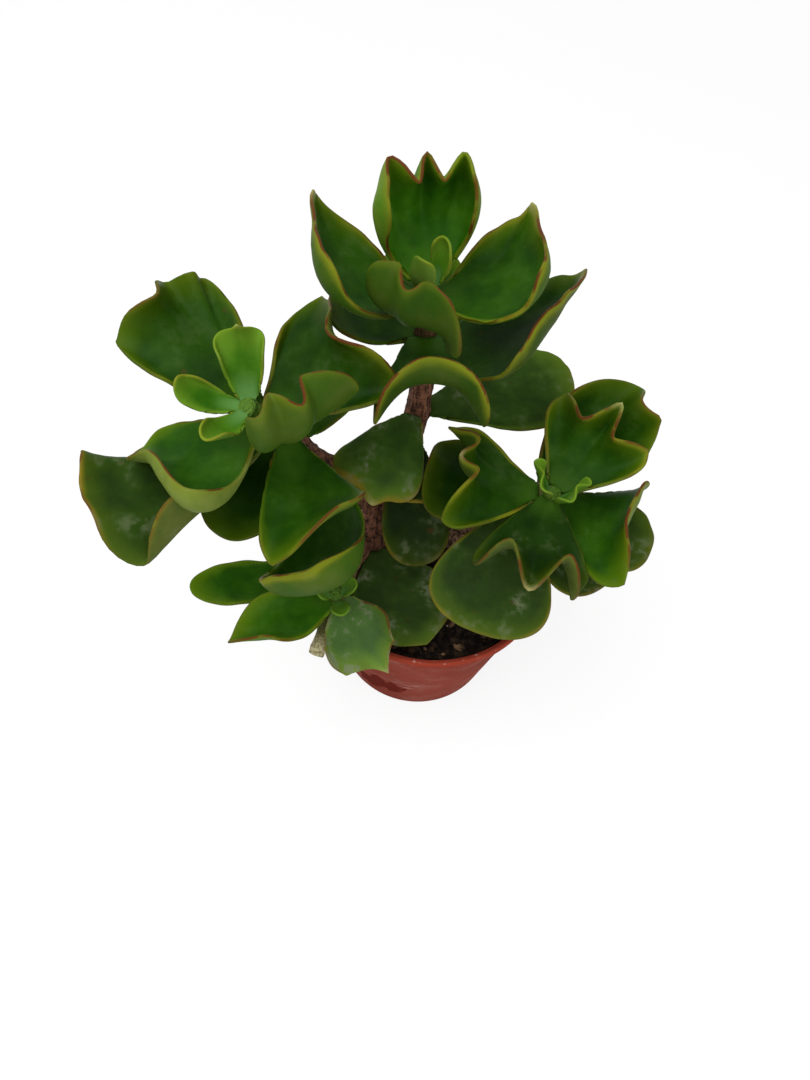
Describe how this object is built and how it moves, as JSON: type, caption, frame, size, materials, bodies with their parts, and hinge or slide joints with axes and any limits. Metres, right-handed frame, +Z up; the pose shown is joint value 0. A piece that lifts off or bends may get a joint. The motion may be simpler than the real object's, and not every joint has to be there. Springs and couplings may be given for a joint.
{
  "type": "potted ripple jade",
  "caption": "Branching succulent with thick wavy spoon-shaped leaves on woody stems, growing in soil in a small round nursery pot.",
  "frame": {"origin": "middle of the flat underside of the pot, on the surface it stands on", "axes": "+Z up along the pot's axis; -Y towards the side the plant is viewed from; +X to the viewer's right"},
  "size_m": [0.2077, 0.1351, 0.245],
  "materials": {
    "pot_plastic": "moulded terracotta-coloured plastic, satin, lightly scuffed",
    "potting_mix": "loose dark potting mix with bark and perlite chips",
    "stem_bark": "wrinkled corky bark, greener towards the tips",
    "leaf_skin": "satin waxy leaf skin, paler margin with a red-brown edge line",
    "young_leaf_skin": "satin waxy skin of young leaves, bright green with a powdery base"
  },
  "bodies": {
    "root": {"left_leaf_back": "leaf_skin", "left_leaf_far": "leaf_skin", "left_leaf_front": "leaf_skin", "left_leaf_inner": "leaf_skin", "left_leaf_low_side": "leaf_skin", "left_leaf_lower_back": "leaf_skin", "left_leaf_lower_front": "leaf_skin", "left_leaf_lowest_front": "leaf_skin", "left_leaf_right": "leaf_skin", "left_leaf_under": "leaf_skin", "left_plant_stem": "stem_bark", "left_young_back": "young_leaf_skin", "left_young_front": "young_leaf_skin", "left_young_side": "young_leaf_skin", "low_bud_back": "young_leaf_skin", "low_bud_front": "young_leaf_skin", "low_bud_left": "young_leaf_skin", "low_bud_right": "young_leaf_skin", "low_leaf_front": "leaf_skin", "low_leaf_left": "leaf_skin", "middle_leaf_back": "leaf_skin", "middle_leaf_front": "leaf_skin", "middle_leaf_left": "leaf_skin", "middle_leaf_low": "leaf_skin", "middle_leaf_right": "leaf_skin", "pot": "pot_plastic", "right_bud_left": "young_leaf_skin", "right_bud_right": "young_leaf_skin", "right_leaf_back": "leaf_skin", "right_leaf_far_back": "leaf_skin", "right_leaf_front": "leaf_skin", "right_leaf_left": "leaf_skin", "right_leaf_lower_front": "leaf_skin", "right_leaf_lower_left": "leaf_skin", "right_leaf_lower_right": "leaf_skin", "right_leaf_right": "leaf_skin", "right_leaf_under": "leaf_skin", "right_plant_stem": "stem_bark", "soil": "potting_mix", "soil_leaf": "leaf_skin", "top_bud_left": "young_leaf_skin", "top_bud_right": "young_leaf_skin", "top_leaf_back": "leaf_skin", "top_leaf_front": "leaf_skin", "top_leaf_left": "leaf_skin", "top_leaf_lower_back": "leaf_skin", "top_leaf_lower_front": "leaf_skin", "top_leaf_lower_left": "leaf_skin", "top_leaf_lower_right": "leaf_skin", "top_leaf_right": "leaf_skin"}
  },
  "joints": []
}
